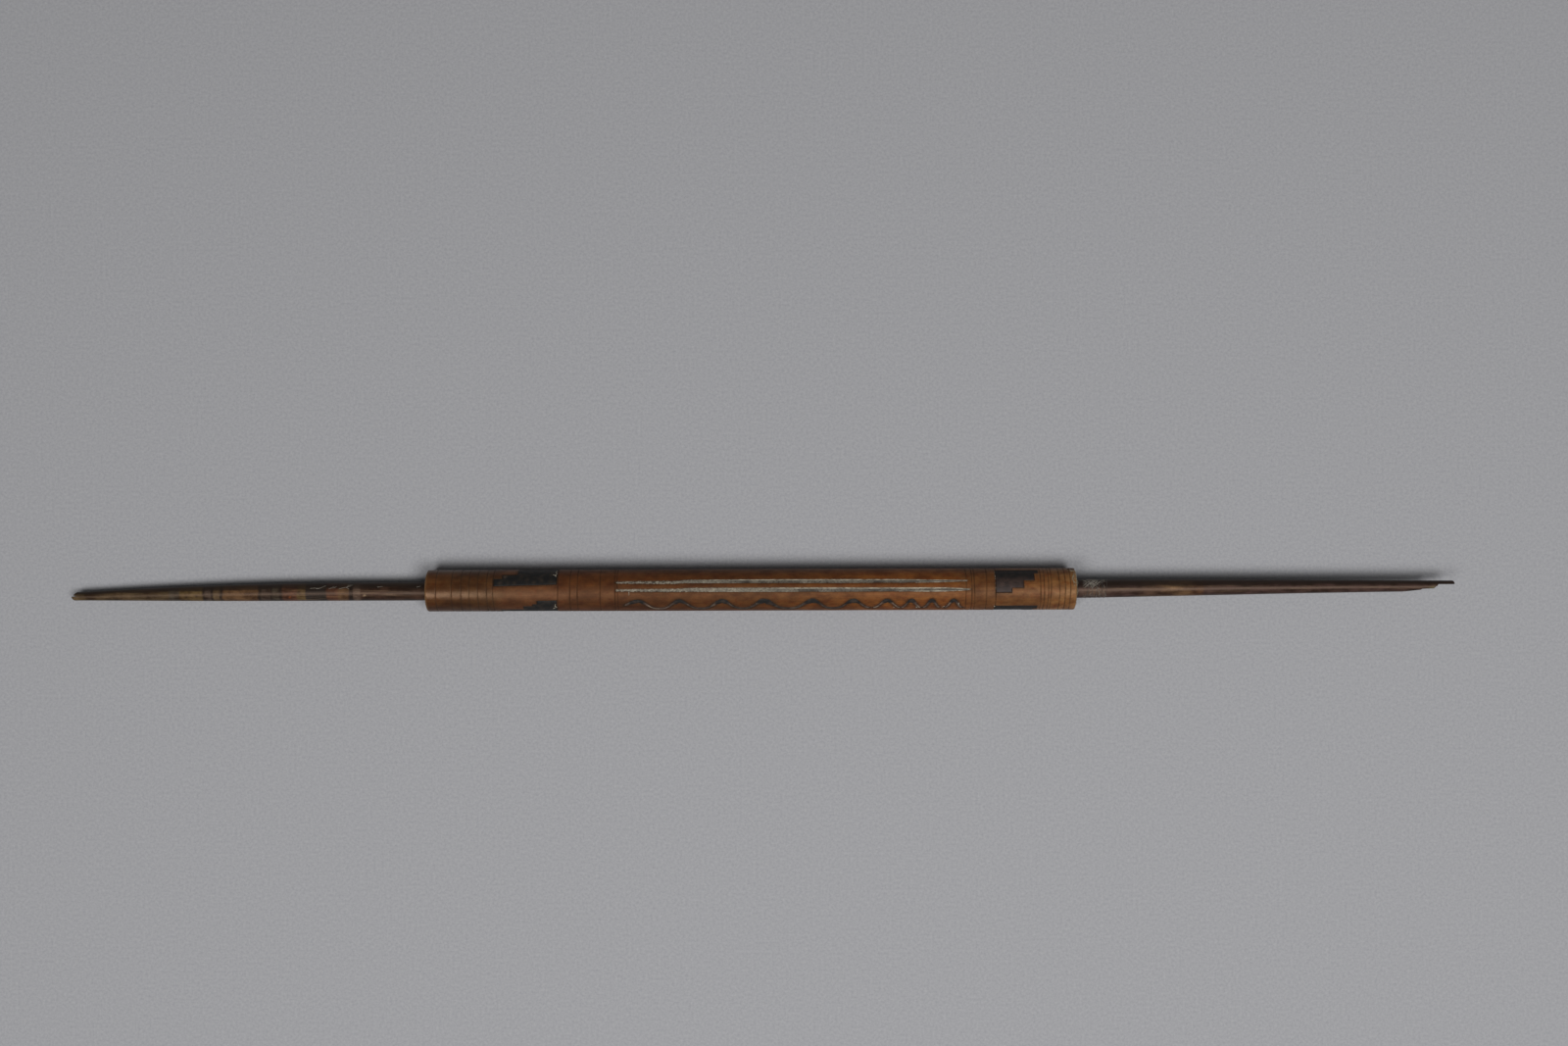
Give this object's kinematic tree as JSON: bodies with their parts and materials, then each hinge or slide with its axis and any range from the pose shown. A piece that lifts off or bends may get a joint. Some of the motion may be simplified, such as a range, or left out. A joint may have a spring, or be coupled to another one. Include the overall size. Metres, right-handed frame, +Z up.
{
  "type": "spindle rod with cane tube",
  "caption": "Long tapered wooden rod with a forked tip and a splintered tip, running through an engraved and inlaid cane tube that slides off and turns.",
  "frame": {"origin": "centre of the bounding box's base: on the table, under the middle of the rod's length", "axes": "+X along the tube towards the splintered tip, +Z up, +Y towards the far side in the picture's view"},
  "size_m": [0.3531, 0.0106, 0.0105],
  "materials": {
    "cane": "polished warm brown cane skin with turned ring lines",
    "palm_wood": "scraped and hand-polished dark palm wood",
    "packing_fibre": "loose pale plant fibre",
    "yarn": "hand-spun pale yarn",
    "lime_paste": "dry pale paste rubbed into a cut line",
    "pitch": "hard black pitch, low sheen"
  },
  "bodies": {
    "tube": {"cane_tube": "cane", "upper_lime_line": "lime_paste", "lower_lime_line": "lime_paste", "pitch_wave": "pitch", "pitch_arc_1": "pitch", "pitch_arc_2": "pitch", "pitch_arc_3": "pitch", "pitch_arc_4": "pitch", "left_step_block_1": "pitch", "left_step_block_2": "pitch", "left_step_block_3": "pitch", "right_step_block_1": "pitch", "right_step_block_2": "pitch", "right_step_block_3": "pitch"},
    "packing": {"fibre_packing": "packing_fibre"},
    "rod": {"palm_rod": "palm_wood", "yarn_remnant": "yarn"}
  },
  "joints": [
    {"name": "rod_draw", "type": "slide", "parent": "tube", "child": "packing", "axis": [1, 0, 0.01], "range_m": [0, 0.262]},
    {"name": "rod_turn", "type": "hinge", "parent": "packing", "child": "rod", "pos_m": [0.08, 0, 0.00518], "axis": [1, 0, 0.01], "continuous": true}
  ]
}
